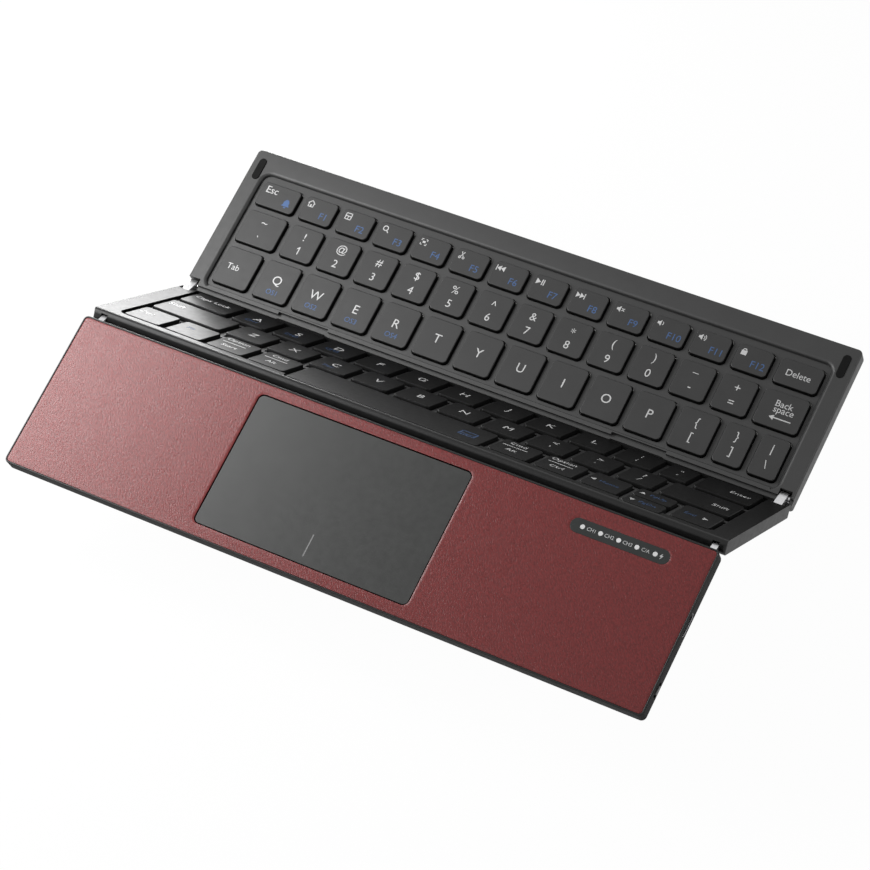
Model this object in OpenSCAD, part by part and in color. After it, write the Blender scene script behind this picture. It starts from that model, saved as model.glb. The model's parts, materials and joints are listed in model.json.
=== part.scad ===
// Folding keyboard: three slim panels that fold like a letter Z.
// The rear panel carries the function, number and top letter rows. The middle
// panel carries the other rows. The front panel carries the touchpad.
// Millimetres. X to the right, Y to the rear, Z up. The rest pose is the
// standing zigzag, with both folds half closed.

/* [Panels] */
// Width of all three panels
panel_w = 256; // [250:1:275]
// Rear panel, from its fold pivot to its rear edge
rear_d = 61.7; // [60:0.1:70]
// Middle panel, from its rear pivot to its front pivot
mid_d = 57.3; // [57:0.1:64]
// Front panel, from its fold pivot to its front edge
front_d = 59.7; // [59.5:0.1:70]
// How far the front panel's top reaches behind its fold pivot
front_back = 2.6; // [2:0.1:2.8]
// Thickness of the rear panel
rear_t = 5.6; // [5.5:0.1:7]
// Thickness of the middle panel
mid_t = 5.4; // [5.3:0.1:7]
// Thickness of the front panel
front_t = 5.4; // [5.2:0.1:7]
// Plan radius of the outer corners on the rear and front panels
corner_r = 1.9; // [1.5:0.1:5]
// Plan radius of the corners beside the folds
fold_corner_r = 1.2; // [0.4:0.1:2]
// Side walls of the front panel
wall = 1.7; // [1.5:0.1:2.4]
// Floors of the casings
floor_t = 0.7; // [0.6:0.1:0.9]
// Plate of the top frames, over the key decks
top_t = 1.5; // [1.2:0.1:1.8]

/* [Folds] */
// Half of the rear fold's angle in the rest pose
fold_half = 26.5; // [5:0.5:45]
// Half of the front fold's angle in the rest pose
front_fold_half = 26.76; // [5:0.01:45]
// Depth of the rear fold's pivots below the keys' top plane
rear_pivot = 2.8; // [2.7:0.1:3]
// Distance between the two pivots of a rear link
rear_link_l = 6.6; // [6.4:0.1:8]
// Half the height of a rear link
rear_link_r = 2; // [1.6:0.1:2]
// Thickness of a rear link
rear_link_w = 3.3; // [2.4:0.1:3.4]
// Height of the front fold's pivots above the panels' undersides
front_pivot = 2.2; // [2.1:0.1:2.4]
// Distance between the two pivots of a front link
front_link_l = 6.7; // [6.2:0.1:8]
// Radius of the panels' rounded ends beside the front fold
front_end_r = 2.4; // [2.25:0.05:2.45]
// Half the height of a front link
front_link_r = 1.8; // [1.4:0.1:1.9]
// Thickness of a front link
front_link_w = 2.4; // [1.8:0.1:2.8]
// Radius of the rear fold's pins
rear_pin_r = 0.8; // [0.6:0.05:1]
// Radius of the front fold's pins
front_pin_r = 0.65; // [0.5:0.05:0.8]
// Running clearance between a pin and its link
pin_gap = 0.05; // [0.02:0.01:0.1]
// Clearance beside a link in its slot
slot_gap = 0.2; // [0.1:0.05:0.3]
// Clearance between two panels' rounded ends, on each side
end_gap = 0.15; // [0.1:0.05:0.3]

/* [Keys] */
// Margin between the panel's side and the end keys
key_margin = 9.3; // [9.2:0.1:12]
// Gap between two keys of a row
key_gap = 2.6; // [1.8:0.1:3]
// Gap between two rows
row_gap = 2.5; // [1.8:0.1:2.6]
// Depth of the function keys, front to back
fn_key_d = 10.5; // [9:0.1:10.6]
// Depth of the number keys
number_key_d = 14.5; // [12:0.1:14.6]
// Depth of the top row's letter keys
top_key_d = 16.5; // [14:0.1:16.6]
// Depth of the middle panel's keys
key_d = 16.6; // [14:0.1:16.7]
// How much further forward the space bar and the up and down keys reach
space_extra = 3; // [1:0.1:3.1]
// Gap between the up key and the down key
arrow_gap = 0.6; // [0.5:0.1:1]
// Height of a key cap
cap_h = 2.5; // [2.2:0.05:2.5]
// Thickness of a key cap's top
cap_top = 1; // [0.7:0.1:1]
// Thickness of a key cap's skirt
cap_wall = 0.9; // [0.7:0.1:1.2]
// Corner radius of a key cap
cap_r = 1.7; // [0.8:0.1:2]
// Key travel
travel = 1.2; // [0.8:0.05:1.2]
// Clearance around a key in its deck
key_clear = 0.35; // [0.25:0.05:0.45]
// Thickness of the key decks
deck_t = 0.8; // [0.6:0.1:0.8]
// Thickness of the steel key plates
plate_t = 0.4; // [0.3:0.05:0.4]
// Thickness of the switch membranes
membrane_t = 0.25; // [0.15:0.05:0.25]
// Thickness of the silicone sheets that carry the domes
sheet_t = 0.2; // [0.15:0.05:0.2]
// Radius of a silicone dome
dome_r = 2.6; // [2:0.1:3.2]

/* [Touchpad and front panel] */
// Touchpad width
pad_w = 86; // [70:0.5:100]
// Touchpad depth, front to back
pad_d = 52; // [45:0.5:53]
// Centre of the touchpad, left of the panel's centre
pad_left = 6.5; // [0:0.5:12]
// Distance of the touchpad's rear edge from the fold pivot
pad_rear = 2.3; // [2:0.1:3.4]
// Corner radius of the touchpad
pad_r = 2; // [1:0.1:4]
// Thickness of the touchpad plate
pad_t = 1; // [0.8:0.1:1.2]
// Depth of the touchpad's surface below the panel's top
pad_sink = 0.4; // [0.3:0.05:0.6]
// Gap around the touchpad
pad_gap = 0.4; // [0.3:0.05:0.5]
// Width of the plastic rim around the leather
rim_w = 0.7; // [0.5:0.1:1.5]
// Thickness of the leather on the front panel
leather_t = 0.6; // [0.4:0.05:0.7]
// Thickness of the leather on the rear panel's back
back_leather_t = 0.4; // [0.3:0.05:0.45]
// Width of the plastic rim around the leather on the back
back_rim_w = 1.6; // [1.2:0.1:2.4]
// Length of the status window
window_l = 37; // [32:0.5:40]
// Width of the status window
window_d = 5.4; // [4.5:0.1:7]
// Distance of the status window's centre from the panel's right side
window_in = 33.2; // [30:0.1:40]
// Distance of the status window's centre from the fold pivot
window_v = 6.4; // [6:0.1:10]
// Number of status lights
lights = 5; // [3:1:5]
// Distance between two status lights
light_pitch = 6.8; // [6:0.1:7]
// How far the row of lights sits left of the window's centre
light_left = 0.4; // [0:0.1:2]
// Battery width
battery_w = 56; // [40:1:60]
// Battery depth
battery_d = 38; // [30:1:44]
// Battery thickness
battery_t = 2.4; // [1.8:0.1:2.6]
// Width of the charging port's shell
port_w = 8.9; // [8.8:0.05:9]
// Height of the charging port's shell
port_h = 3.1; // [3:0.05:3.2]
// Length of the charging port's shell
port_l = 7.3; // [6.5:0.1:8]
// Distance of the charging port's centre from the fold pivot
port_v = 24.4; // [20:0.1:30]
// Distance of the power switch's centre from the fold pivot
switch_v = 48.7; // [44:0.1:52]
// Length of the power switch's knob
switch_l = 3.2; // [2.6:0.1:4]
// Height of the power switch's knob
switch_h = 1.6; // [1.2:0.1:1.6]
// Travel of the power switch
switch_travel = 2; // [1.5:0.1:2.5]
// How far the power switch stands out of the side
switch_proud = 0.4; // [0.2:0.05:0.6]

/* [Feet and bumpers] */
// Length of a rubber bumper on the rear panel
bumper_l = 9.5; // [6:0.1:12]
// Width of a rubber bumper
bumper_w = 3.2; // [2:0.1:3.6]
// Height of a bumper above the panel
bumper_proud = 0.35; // [0.2:0.05:0.4]
// Length of a foot strip
foot_l = 40; // [20:1:60]
// Width of a foot strip
foot_w = 3; // [2:0.1:4]
// Height of a foot strip
foot_h = 0.55; // [0.3:0.05:0.6]

/* [Hidden] */
fine = 48;
over = 1;                                    // how far a cutter runs past a face
half_w = panel_w / 2;

// Rear fold: both panels end in a barrel that stays on its own side of the
// link's middle at every angle
rear_end_r = rear_link_l / 2 - end_gap;
mid_flat_end = sqrt(rear_end_r * rear_end_r - rear_pivot * rear_pivot);
lip_end = 0.5;                               // rear panel's front lip, past the pivot
lip_h = 1.4;                                 // height of the lip above the barrel
notch_deep = 1;                              // how far the lip steps back at a notch
tab_out = 1.4;                               // middle panel's tabs, past its flat end
tab_h = 1.2;                                 // thickness of the tabs
tab_reach = norm([mid_flat_end + tab_out, rear_pivot]);
notch_r = rear_link_l - tab_reach - 0.2;     // what a tab leaves of the other barrel
tab_side = 0.5;                              // side clearance of a tab in its notch
tab_w = 22;                                  // width of a notch
tab_in = [53, 61];                           // notches' middles, from the left and right side
tab_x = [tab_in[0] - half_w, half_w - tab_in[1]];

// Heights below each panel's top plane
deck_top = -top_t;
cap_inside = -cap_top;
dome_top = cap_inside - travel - 0.1;
rear_floor = -rear_t + 0.9;
mid_floor = -mid_t + floor_t;
front_floor = -front_t + floor_t;
split = -3;                                  // seam between a frame and its casing
front_split = -2.4;

board_up = 0.2;                              // main board above the casing's floor
board_t = 0.6;                               // thickness of the main board
board_z = [front_floor + board_up, front_floor + board_up + board_t];
port_z = front_floor + 0.05;                 // underside of the port, sunk in the board
switch_z = board_z[1] + 0.1;                 // underside of the switch's knob

// Hinge places from each panel's left side and right side
rear_link_left = -half_w + 0.9;
rear_link_right = half_w - 2.6 - rear_link_w;
front_link_left = -half_w + 3.7;
front_link_right = half_w - 2.5 - front_link_w;
boss_l = 1;                                  // boss on a rear link, to its right
boss_r = 1.5;
pin_reach = 7.4;                             // how far in from the side the pins reach
bay_side = 7.8;                              // side walls beside the key fields
rear_links = [rear_link_left, rear_link_right];
front_links = [front_link_left, front_link_right];

// Key field
field_w = panel_w - 2 * key_margin;
opening_side = key_margin - 1.9;             // top opening, from the panel's side
opening_r = 3.5;
rear_open_front = 0.9;
top_row_y = rear_open_front + 2.3;
number_row_y = top_row_y + top_key_d + row_gap;
fn_row_y = number_row_y + number_key_d + row_gap;
rear_open_rear = fn_row_y + fn_key_d + 2.9;
home_v = -0.6;
lower_v = home_v + key_d + row_gap;
space_v = lower_v + key_d + row_gap;
keys_end_v = space_v + key_d;
rim_gap = 0.9;                               // between the last row and the frame
rear_bay = [1.6, rear_open_rear + 0.6];
mid_bay = [-1.9, keys_end_v + space_extra + key_clear + 0.6];

// Key widths of each row in units of a letter key
fn_row = [1.21, 1, 1, 1, 1, 1, 1, 1, 1, 1, 1, 1, 1, 1.21];
number_row = [1.25, 1, 1, 1, 1, 1, 1, 1, 1, 1, 1, 1, 1, 1.25];
top_row = [1.03, 1, 1, 1, 1, 1, 1, 1, 1, 1, 1, 1, 0.75, 0.73];
home_row = [1.36, 1, 1, 1, 1, 1, 1, 1, 1, 1, 1, 0.73, 1.43];
lower_row = [1.96, 1, 1, 1, 1, 1, 1, 1, 1, 1, 0.92, 1.76];
space_row = [1, 1, 1, 1, 5.08, 1, 0.99, 0.95, 0.95, 0.97];
space_key = 4;
arrow_key = 8;
half_d = (key_d + space_extra - arrow_gap) / 2;

// World place of each panel's pivots
low_rear = rear_end_r * sin(fold_half) + (rear_t - rear_pivot) * cos(fold_half);
low_mid = rear_end_r * sin(fold_half) + (mid_t - rear_pivot) * cos(fold_half);
drop = mid_t - front_pivot - rear_pivot;     // front pivot below the rear pivot's line
front_rise = mid_d * sin(fold_half) - drop * cos(fold_half);
link_tilt = front_fold_half - fold_half;     // front links, from level
front_tilt = front_fold_half + link_tilt;    // front panel's slope
f_pivot_rise = front_rise - front_link_l * sin(link_tilt);
low_front = front_d * sin(front_tilt) + front_pivot * cos(front_tilt) - f_pivot_rise;
lift = max(low_rear, low_mid, low_front);
front_run = mid_d * cos(fold_half) + drop * sin(fold_half);
f_pivot_run = front_run + front_link_l * cos(link_tilt);
back_y = rear_link_l + rear_d * cos(fold_half) + (rear_t - rear_pivot) * sin(fold_half);
near_y = f_pivot_run + front_d * cos(front_tilt) + (front_t - front_pivot) * sin(front_tilt);
pivot_y = (near_y - back_y) / 2;

grey = [0.27, 0.27, 0.27];
key_grey = [0.25, 0.25, 0.25];
black = [0.06, 0.06, 0.06];
red_leather = [0.42, 0.16, 0.17];
steel = [0.75, 0.76, 0.78];
green = [0.05, 0.3, 0.15];

// ---- frames: local z = 0 is a panel's top plane, y = 0 its fold pivot ----
centre_x = -switch_proud / 2;                // the knob is part of the overall width
module in_rear() translate([centre_x, pivot_y + rear_link_l, lift]) rotate([fold_half, 0, 0])
    translate([0, 0, rear_pivot]) children();
module in_mid() translate([centre_x, pivot_y, lift]) rotate([-fold_half, 0, 0])
    translate([0, 0, rear_pivot]) children();
module in_front() translate([centre_x, pivot_y - f_pivot_run, lift + f_pivot_rise])
    rotate([front_tilt, 0, 0]) translate([0, 0, front_t - front_pivot]) children();

// ---- helpers ----
module box(x, y, z) translate([x[0], y[0], z[0]])
    cube([x[1] - x[0], y[1] - y[0], z[1] - z[0]]);

module round_box(x, y, z, r) {
    box([x[0] + r, x[1] - r], y, z);
    box(x, [y[0] + r, y[1] - r], z);
    for (cx = [x[0] + r, x[1] - r], cy = [y[0] + r, y[1] - r])
        translate([cx, cy, z[0]]) cylinder(h = z[1] - z[0], r = r, $fn = fine);
}

// a plan outline with one radius at its near end and another at its far end
module plan_box(y, z, near_r, far_r) {
    mid_y = (y[0] + y[1]) / 2;
    intersection() {
        round_box([-half_w, half_w], y, z, near_r);
        box([-half_w, half_w], [y[0], mid_y], z);
    }
    intersection() {
        round_box([-half_w, half_w], y, z, far_r);
        box([-half_w, half_w], [mid_y, y[1]], z);
    }
}

module rod(x, y, z, r) translate([x[0], y, z]) rotate([0, 90, 0])
    cylinder(h = x[1] - x[0], r = r, $fn = fine);

full_x = [-half_w - over, half_w + over];

// ---- keys ----
function row_sum(row, n) = n == 0 ? 0 : row[n - 1] + row_sum(row, n - 1);
function unit(row) = (field_w - key_gap * (len(row) - 1)) / row_sum(row, len(row));
function key_x0(row, i) = -field_w / 2 + unit(row) * row_sum(row, i) + key_gap * i;
function key_x(row, i) = [key_x0(row, i), key_x0(row, i) + unit(row) * row[i]];
function grow(span, c) = [span[0] - c, span[1] + c];
function mean(span) = (span[0] + span[1]) / 2;

module cap(x, y) difference() {
    round_box(x, y, [-cap_h, 0], cap_r);
    box(grow(x, -cap_wall), grow(y, -cap_wall), [-cap_h - over, cap_inside]);
}

module caps(row, y, from, to) for (i = [from : to]) cap(key_x(row, i), y);
module key_holes(row, y, z) for (i = [0 : len(row) - 1])
    round_box(grow(key_x(row, i), key_clear), grow(y, key_clear), z, cap_r + key_clear);
module square_hole(x, y) box(grow(x, key_clear), grow(y, key_clear), [-mid_t, over]);
module square_holes(row, y) for (i = [0 : len(row) - 1]) square_hole(key_x(row, i), y);
module row_domes(row, y, z) for (i = [0 : len(row) - 1])
    translate([mean(key_x(row, i)), mean(y), z]) cylinder(h = dome_top - z, r = dome_r, $fn = 24);

top_y = [top_row_y, top_row_y + top_key_d];
number_y = [number_row_y, number_row_y + number_key_d];
fn_y = [fn_row_y, fn_row_y + fn_key_d];
home_y = [-home_v - key_d, -home_v];
lower_y = [-lower_v - key_d, -lower_v];
space_y = [-keys_end_v, -space_v];
long_y = [-keys_end_v - space_extra, -space_v];
down_y = [long_y[0], long_y[0] + half_d];
up_y = [long_y[1] - half_d, long_y[1]];

// ---- rear panel ----
rear_box_y = [-rear_end_r, rear_d];

module rear_shape() intersection() {
    plan_box(rear_box_y, [-rear_t, 0], fold_corner_r, corner_r);
    union() {
        box(full_x, [-lip_end, rear_d], [-rear_t, 0]);
        box(full_x, [-rear_end_r, 0], [-rear_t, -rear_pivot]);
        intersection() {
            rod(full_x, 0, -rear_pivot, rear_end_r);
            box(full_x, [-rear_end_r, 0], [-rear_t, -lip_h]);
        }
    }
}

module rear_link_slots(open_left) for (i = [0, 1]) {
    x = rear_links[i];
    side = i == 0 && open_left ? -half_w - over : x - slot_gap;
    box([side, x + rear_link_w + boss_l + slot_gap],
        [-rear_end_r - over, rear_link_r + slot_gap],
        [-rear_pivot - rear_link_r - slot_gap, over]);
}

module pin_set(x, y, z, r, cut) for (s = [0, 1])
    rod(s == 0 ? [x[0], -half_w + pin_reach + cut] : [half_w - pin_reach - cut, x[1] + cut],
        y, z, r);

rear_pin_x = [rear_link_left, half_w - 0.7];
mid_pin_x = [-half_w + 0.3, half_w - 0.7];
head_r = 1.3;
head_l = 0.8;

module rear_case() difference() {
    rear_shape();
    rear_link_slots(true);
    pin_set(rear_pin_x, 0, -rear_pivot, rear_pin_r, 0);
    for (x = tab_x) notch([x - tab_w / 2, x + tab_w / 2]);
}

module notch(x) {
    box(x, [-rear_end_r - over, notch_deep - lip_end], [-lip_h, over]);
    difference() {
        box(x, [-rear_end_r - over, 0], [-rear_pivot, over]);
        rod(grow(x, over), 0, -rear_pivot, notch_r);
    }
}

rear_bay_x = [-half_w + bay_side, half_w - bay_side];
open_x = [-half_w + opening_side, half_w - opening_side];

module rear_bezel() color(grey) in_rear() difference() {
    intersection() {
        rear_case();
        box(full_x, [-rear_end_r - over, rear_d + over], [split, over]);
    }
    round_box(open_x, [rear_open_front, rear_open_rear], [deck_top, over], opening_r);
    box(rear_bay_x, [rear_bay[0], rear_d - wall], [split - over, deck_top]);
    bumper_shape(-bumper_sink, over, 0);
}

module rear_cover() color(grey) in_rear() difference() {
    intersection() {
        rear_case();
        box(full_x, [-rear_end_r - over, rear_d + over], [-rear_t - over, split]);
    }
    box(rear_bay_x, [rear_bay[0], rear_d - wall], [rear_floor, over]);
    rear_back(-rear_t - over, back_leather_t - rear_t, 0);
}

module rear_back(z0, z1, gap) round_box([-half_w + back_rim_w + gap, half_w - back_rim_w - gap],
    [rear_link_r + 3 + gap, rear_d - back_rim_w - gap], [z0, z1], 2);

module rear_leather() color(red_leather) in_rear()
    rear_back(-rear_t, back_leather_t - rear_t, 0.05);

module rear_deck() color(grey) in_rear() difference() {
    box(grow(rear_bay_x, -0.1), grow(rear_bay, -0.1), [deck_top - deck_t, deck_top]);
    key_holes(top_row, top_y, [-rear_t, over]);
    key_holes(number_row, number_y, [-rear_t, over]);
    key_holes(fn_row, fn_y, [-rear_t, over]);
}

module layer(bay_x, bay_y, z, t) box(grow(bay_x, -0.1), grow(bay_y, -0.1), [z, z + t]);

module rear_plate() color(steel) in_rear() layer(rear_bay_x, rear_bay, rear_floor, plate_t);
module rear_membrane() color("darkgreen") in_rear()
    layer(rear_bay_x, rear_bay, rear_floor + plate_t, membrane_t);
rear_sheet = rear_floor + plate_t + membrane_t;
module rear_domes() color("whitesmoke") in_rear() {
    layer(rear_bay_x, rear_bay, rear_sheet, sheet_t);
    row_domes(top_row, top_y, rear_sheet);
    row_domes(number_row, number_y, rear_sheet);
    row_domes(fn_row, fn_y, rear_sheet);
}

bumper_sink = 0.8;
bumper_mid_y = rear_d - 8.3;
bumper_in = 4.3;                             // middle of a bumper, from the panel's side
module bumper_shape(z0, z1, gap) for (s = [-1, 1]) {
    w = bumper_w / 2 - gap;
    reach = bumper_l / 2 - bumper_w / 2;
    translate([s * (half_w - bumper_in), bumper_mid_y, 0]) {
        box([-w, w], [-reach, reach], [z0, z1]);
        for (e = [-reach, reach]) translate([0, e, z0])
            cylinder(h = z1 - z0, r = w, $fn = fine);
    }
}
module rear_bumpers() color(black) in_rear() bumper_shape(-bumper_sink, bumper_proud, 0.03);

foot_in = 45;                                // middle of a foot, from the panel's side
foot_edge = 8;                               // and from its outer end
module rear_feet() color(black) in_rear() for (s = [-1, 1])
    translate([s * (half_w - foot_in), rear_d - foot_edge, 0])
        round_box([-foot_l / 2, foot_l / 2], [-foot_w / 2, foot_w / 2],
            [-rear_t - foot_h, -rear_t], 1.2);

magnet = [20, 4, 1.6];
magnet_in = 20.8;                            // middle of a magnet, from the panel's side
module rear_magnets() color(steel) in_rear() for (s = [-1, 1])
    translate([s * (half_w - magnet_in) - magnet[0] / 2,
        rear_bay[1] + 0.8, rear_floor]) cube(magnet);

module rear_pins() color(steel) in_rear() {
    pin_set(rear_pin_x, 0, -rear_pivot, rear_pin_r, 0);
    for (x = rear_links) rod([x + rear_link_w + 0.1, x + rear_link_w + 0.1 + head_l],
        0, -rear_pivot, head_r);
}

// ---- rear panel's keys ----
module key_escape() color(key_grey) in_rear() caps(fn_row, fn_y, 0, 0);
module keys_function() color(key_grey) in_rear() caps(fn_row, fn_y, 1, 12);
module key_delete() color(key_grey) in_rear() caps(fn_row, fn_y, 13, 13);
module keys_number() color(key_grey) in_rear() caps(number_row, number_y, 0, 12);
module key_backspace() color(key_grey) in_rear() caps(number_row, number_y, 13, 13);
module key_tab() color(key_grey) in_rear() caps(top_row, top_y, 0, 0);
module keys_top_letters() color(key_grey) in_rear() caps(top_row, top_y, 1, 13);

// ---- middle panel ----
mid_bay_x = rear_bay_x;
mid_bay_y = [-mid_bay[1], -mid_bay[0]];
mid_box_y = [-mid_d - front_end_r, rear_end_r];
nose_r = 2;                                  // rounding of the panel's front top edge
nose_y = mid_box_y[0] + nose_r;

module mid_shape() intersection() {
    plan_box(mid_box_y, [-mid_t, 0], fold_corner_r, fold_corner_r);
    union() {
        box(full_x, [-mid_d, mid_flat_end], [-mid_t, 0]);
        box(full_x, [0, rear_end_r], [-mid_t, -rear_pivot]);
        intersection() {
            rod(full_x, 0, -rear_pivot, rear_end_r);
            box(full_x, [0, rear_end_r], [-mid_t, 0]);
        }
        for (x = tab_x) box([x - tab_w / 2 + tab_side, x + tab_w / 2 - tab_side],
            [0, mid_flat_end + tab_out], [-tab_h, 0]);
        box(full_x, [nose_y - nose_r, -mid_d], [front_pivot - mid_t, -nose_r]);
        box(full_x, [nose_y, -mid_d], [-nose_r, 0]);
        rod(full_x, nose_y, -nose_r, nose_r);
        intersection() {
            rod(full_x, -mid_d, front_pivot - mid_t, front_end_r);
            box(full_x, [-mid_d - front_end_r, 0], [-mid_t, 0]);
        }
    }
}

module front_link_slots(y, s, t) for (x = front_links) {
    reach = front_link_r + slot_gap;
    far = front_end_r + over;
    box([x - slot_gap, x + front_link_w + slot_gap],
        s > 0 ? [y - reach, y + far] : [y - far, y + reach],
        [-t - over, front_pivot - t + reach]);
}

front_pin_x = [-half_w + 1.4, half_w - 0.9];

module mid_case() difference() {
    mid_shape();
    mirror([0, 1, 0]) rear_link_slots(false);
    front_link_slots(-mid_d, -1, mid_t);
    pin_set(mid_pin_x, 0, -rear_pivot, rear_pin_r, 0);
    pin_set(front_pin_x, -mid_d, front_pivot - mid_t, front_pin_r, 0);
}

pocket_y = [-keys_end_v - rim_gap, rear_end_r + over + opening_r];
long_pocket = [long_y[0] - rim_gap * 0.6, -keys_end_v + cap_r];

module mid_frame() color(grey) in_mid() difference() {
    intersection() {
        mid_case();
        box(full_x, [mid_box_y[0] - over, mid_box_y[1] + over], [split, over]);
    }
    intersection() {
        round_box(open_x, pocket_y, [deck_top, over], opening_r);
        box(open_x, [pocket_y[0], -home_v + key_clear], [deck_top, over]);
    }
    for (i = [space_key, arrow_key])
        round_box(grow(key_x(space_row, i), rim_gap), [long_pocket[0], long_pocket[1]],
            [deck_top, over], cap_r);
    box(mid_bay_x, mid_bay_y, [split - over, deck_top]);
}

module mid_cover() color(grey) in_mid() difference() {
    intersection() {
        mid_case();
        box(full_x, [mid_box_y[0] - over, mid_box_y[1] + over], [-mid_t - over, split]);
    }
    box(mid_bay_x, mid_bay_y, [mid_floor, over]);
}

module mid_deck() color(grey) in_mid() difference() {
    box(grow(mid_bay_x, -0.1), grow(mid_bay_y, -0.1), [deck_top - deck_t, deck_top]);
    square_holes(home_row, home_y);
    square_holes(lower_row, lower_y);
    square_holes(space_row, space_y);
    for (i = [space_key, arrow_key]) square_hole(key_x(space_row, i), long_y);
}

module mid_plate() color(steel) in_mid() layer(mid_bay_x, mid_bay_y, mid_floor, plate_t);
module mid_membrane() color("darkgreen") in_mid()
    layer(mid_bay_x, mid_bay_y, mid_floor + plate_t, membrane_t);
mid_sheet = mid_floor + plate_t + membrane_t;
module mid_domes() color("whitesmoke") in_mid() {
    layer(mid_bay_x, mid_bay_y, mid_sheet, sheet_t);
    row_domes(home_row, home_y, mid_sheet);
    row_domes(lower_row, lower_y, mid_sheet);
    for (i = [0 : len(space_row) - 1]) for (y = i == arrow_key ? [up_y, down_y] : [space_y])
        translate([mean(key_x(space_row, i)), mean(y), mid_sheet])
            cylinder(h = dome_top - mid_sheet, r = dome_r, $fn = 24);
}

module mid_rear_pins() color(steel) in_mid()
    pin_set(mid_pin_x, 0, -rear_pivot, rear_pin_r, 0);
module mid_front_pins() color(steel) in_mid()
    pin_set(front_pin_x, -mid_d, front_pivot - mid_t, front_pin_r, 0);

// ---- middle panel's keys ----
module key_caps_lock() color(key_grey) in_mid() caps(home_row, home_y, 0, 0);
module keys_home_letters() color(key_grey) in_mid() caps(home_row, home_y, 1, 11);
module key_enter() color(key_grey) in_mid() caps(home_row, home_y, 12, 12);
module key_left_shift() color(key_grey) in_mid() caps(lower_row, lower_y, 0, 0);
module keys_lower_letters() color(key_grey) in_mid() caps(lower_row, lower_y, 1, 10);
module key_right_shift() color(key_grey) in_mid() caps(lower_row, lower_y, 11, 11);
module key_control() color(key_grey) in_mid() caps(space_row, space_y, 0, 0);
module key_function_shift() color(key_grey) in_mid() caps(space_row, space_y, 1, 1);
module keys_modifier() color(key_grey) in_mid() {
    caps(space_row, space_y, 2, 3);
    caps(space_row, space_y, 5, 6);
}
module key_space() color(key_grey) in_mid() caps(space_row, long_y, 4, 4);
module key_arrow_left() color(key_grey) in_mid() caps(space_row, space_y, 7, 7);
module key_arrow_up() color(key_grey) in_mid() caps(space_row, up_y, 8, 8);
module key_arrow_down() color(key_grey) in_mid() caps(space_row, down_y, 8, 8);
module key_arrow_right() color(key_grey) in_mid() caps(space_row, space_y, 9, 9);

// ---- links of the two folds, level in the rest pose ----
module link(x, w, l, r, pin_r, boss) difference() {
    union() {
        box([x, x + w], [0, l], [-r, r]);
        for (y = [0, l]) rod([x, x + w], y, 0, r);
        if (boss > 0) rod([x + w, x + w + boss], 0, 0, boss_r);
    }
    for (y = [0, l]) rod([x - over, x + w + boss + over], y, 0, pin_r + pin_gap);
}

module in_rear_links() translate([centre_x, pivot_y, lift]) children();
module in_front_links() translate([centre_x, pivot_y - f_pivot_run, lift + f_pivot_rise])
    rotate([link_tilt, 0, 0]) children();

module rear_link_left_arm() color(steel) in_rear_links()
    link(rear_link_left, rear_link_w, rear_link_l, rear_link_r, rear_pin_r, boss_l);
module rear_link_right_arm() color(steel) in_rear_links()
    link(rear_link_right, rear_link_w, rear_link_l, rear_link_r, rear_pin_r, boss_l);
module front_link_left_arm() color(steel) in_front_links()
    link(front_link_left, front_link_w, front_link_l, front_link_r, front_pin_r, 0);
module front_link_right_arm() color(steel) in_front_links()
    link(front_link_right, front_link_w, front_link_l, front_link_r, front_pin_r, 0);

// ---- front panel ----
front_box_y = [-front_d, front_back];

module front_shape() intersection() {
    plan_box(front_box_y, [-front_t, 0], corner_r, corner_r);
    union() {
        box(full_x, [-front_d, 0], [-front_t, 0]);
        box(full_x, [-front_d, front_back], [front_pivot - front_t, 0]);
        intersection() {
            rod(full_x, 0, front_pivot - front_t, front_end_r);
            box(full_x, front_box_y, [-front_t, 0]);
        }
    }
}

module port_shape(gap, x0, x1) {
    r = port_h / 2 + gap;
    for (s = [-1, 1]) rod([x0, x1], -port_v + s * (port_w / 2 - port_h / 2),
        port_z + port_h / 2, r);
    box([x0, x1], [-port_v - port_w / 2 + port_h / 2, -port_v + port_w / 2 - port_h / 2],
        [port_z + port_h / 2 - r, port_z + port_h / 2 + r]);
}

module front_case() difference() {
    front_shape();
    front_link_slots(0, 1, front_t);
    pin_set(front_pin_x, 0, front_pivot - front_t, front_pin_r, 0);
    port_shape(0.15, half_w - wall - over, half_w + over);
    box([half_w - wall - over, half_w + over],
        grow([-switch_v, -switch_v], switch_l / 2 + switch_travel / 2 + 0.15),
        grow([switch_z, switch_z + switch_h], 0.1));
}

module front_bay(z0, z1) {
    box([-half_w + wall, half_w - wall], [-front_d + wall, -front_link_r - 2.4], [z0, z1]);
    box([-half_w + bay_side + 1.4, half_w - bay_side - 1.4], [-front_d + wall, -0.9], [z0, z1]);
}

pad_x = [-pad_left - pad_w / 2, -pad_left + pad_w / 2];
pad_y = [-pad_rear - pad_d, -pad_rear];
window_x = half_w - window_in;
window_span = [window_x - window_l / 2, window_x + window_l / 2];

module window_shape(z0, z1, gap) round_box(grow(window_span, gap),
    [-window_v - window_d / 2 - gap, -window_v + window_d / 2 + gap], [z0, z1],
    window_d / 2 + gap - 0.01);

module front_inset(z0, z1, gap) round_box([-half_w + rim_w + gap, half_w - rim_w - gap],
    [-front_d + rim_w + gap, front_back - rim_w - gap], [z0, z1], max(0.5, corner_r - rim_w));

module front_bosses(z0, z1) for (p = screw_places) translate([p[0], p[1], z0])
    cylinder(h = z1 - z0, r = boss_out, $fn = fine);
module front_screw_holes() for (p = screw_places) translate([p[0], p[1], -front_t]) {
    translate([0, 0, -over]) cylinder(h = over + screw_head_h, r = screw_head_r, $fn = fine);
    cylinder(h = screw_l, r = screw_r, $fn = fine);
}

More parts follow.
